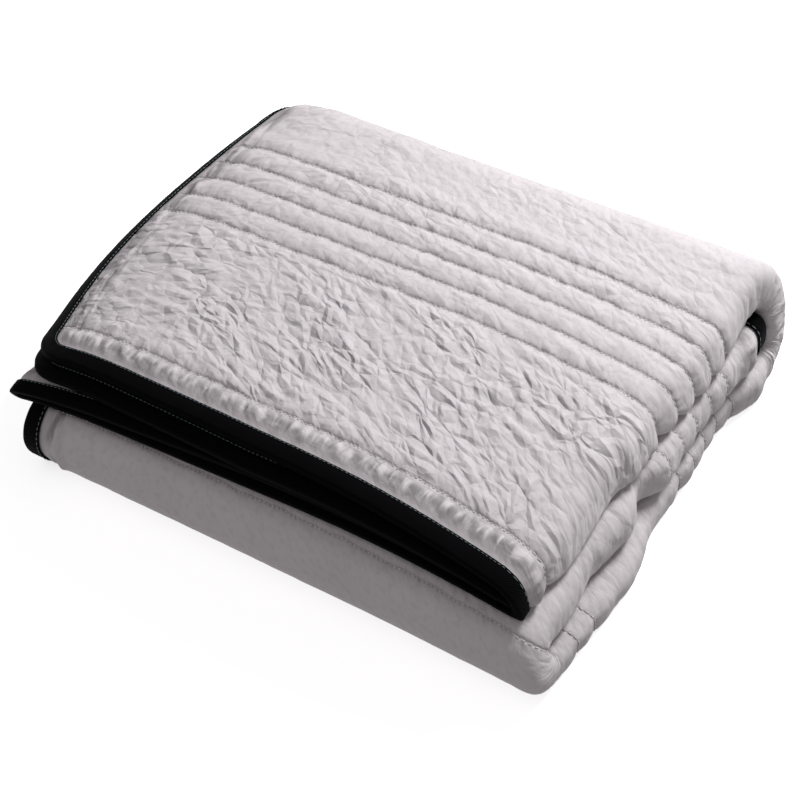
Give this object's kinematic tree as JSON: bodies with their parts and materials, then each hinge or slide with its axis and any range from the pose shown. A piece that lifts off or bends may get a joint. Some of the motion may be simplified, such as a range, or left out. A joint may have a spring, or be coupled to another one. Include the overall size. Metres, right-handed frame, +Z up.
{
  "type": "folded quilted blanket",
  "caption": "Light quilted summer blanket with a dark bound edge and bands of straight quilting rows, folded into one thick rectangular pad.",
  "frame": {"origin": "on the floor, under the middle of the folded pad's bounding box", "axes": "+Z up; +X from the bound open side to the side with the folds, along the front roll; +Y from the front roll to the back bend"},
  "size_m": [0.5704, 0.486, 0.1299],
  "materials": {
    "quilted_cotton": "matte, finely creased",
    "binding_tape": "matte woven tape"
  },
  "bodies": {
    "root": {"quilt": "quilted_cotton", "edge_binding": "binding_tape"}
  },
  "joints": []
}
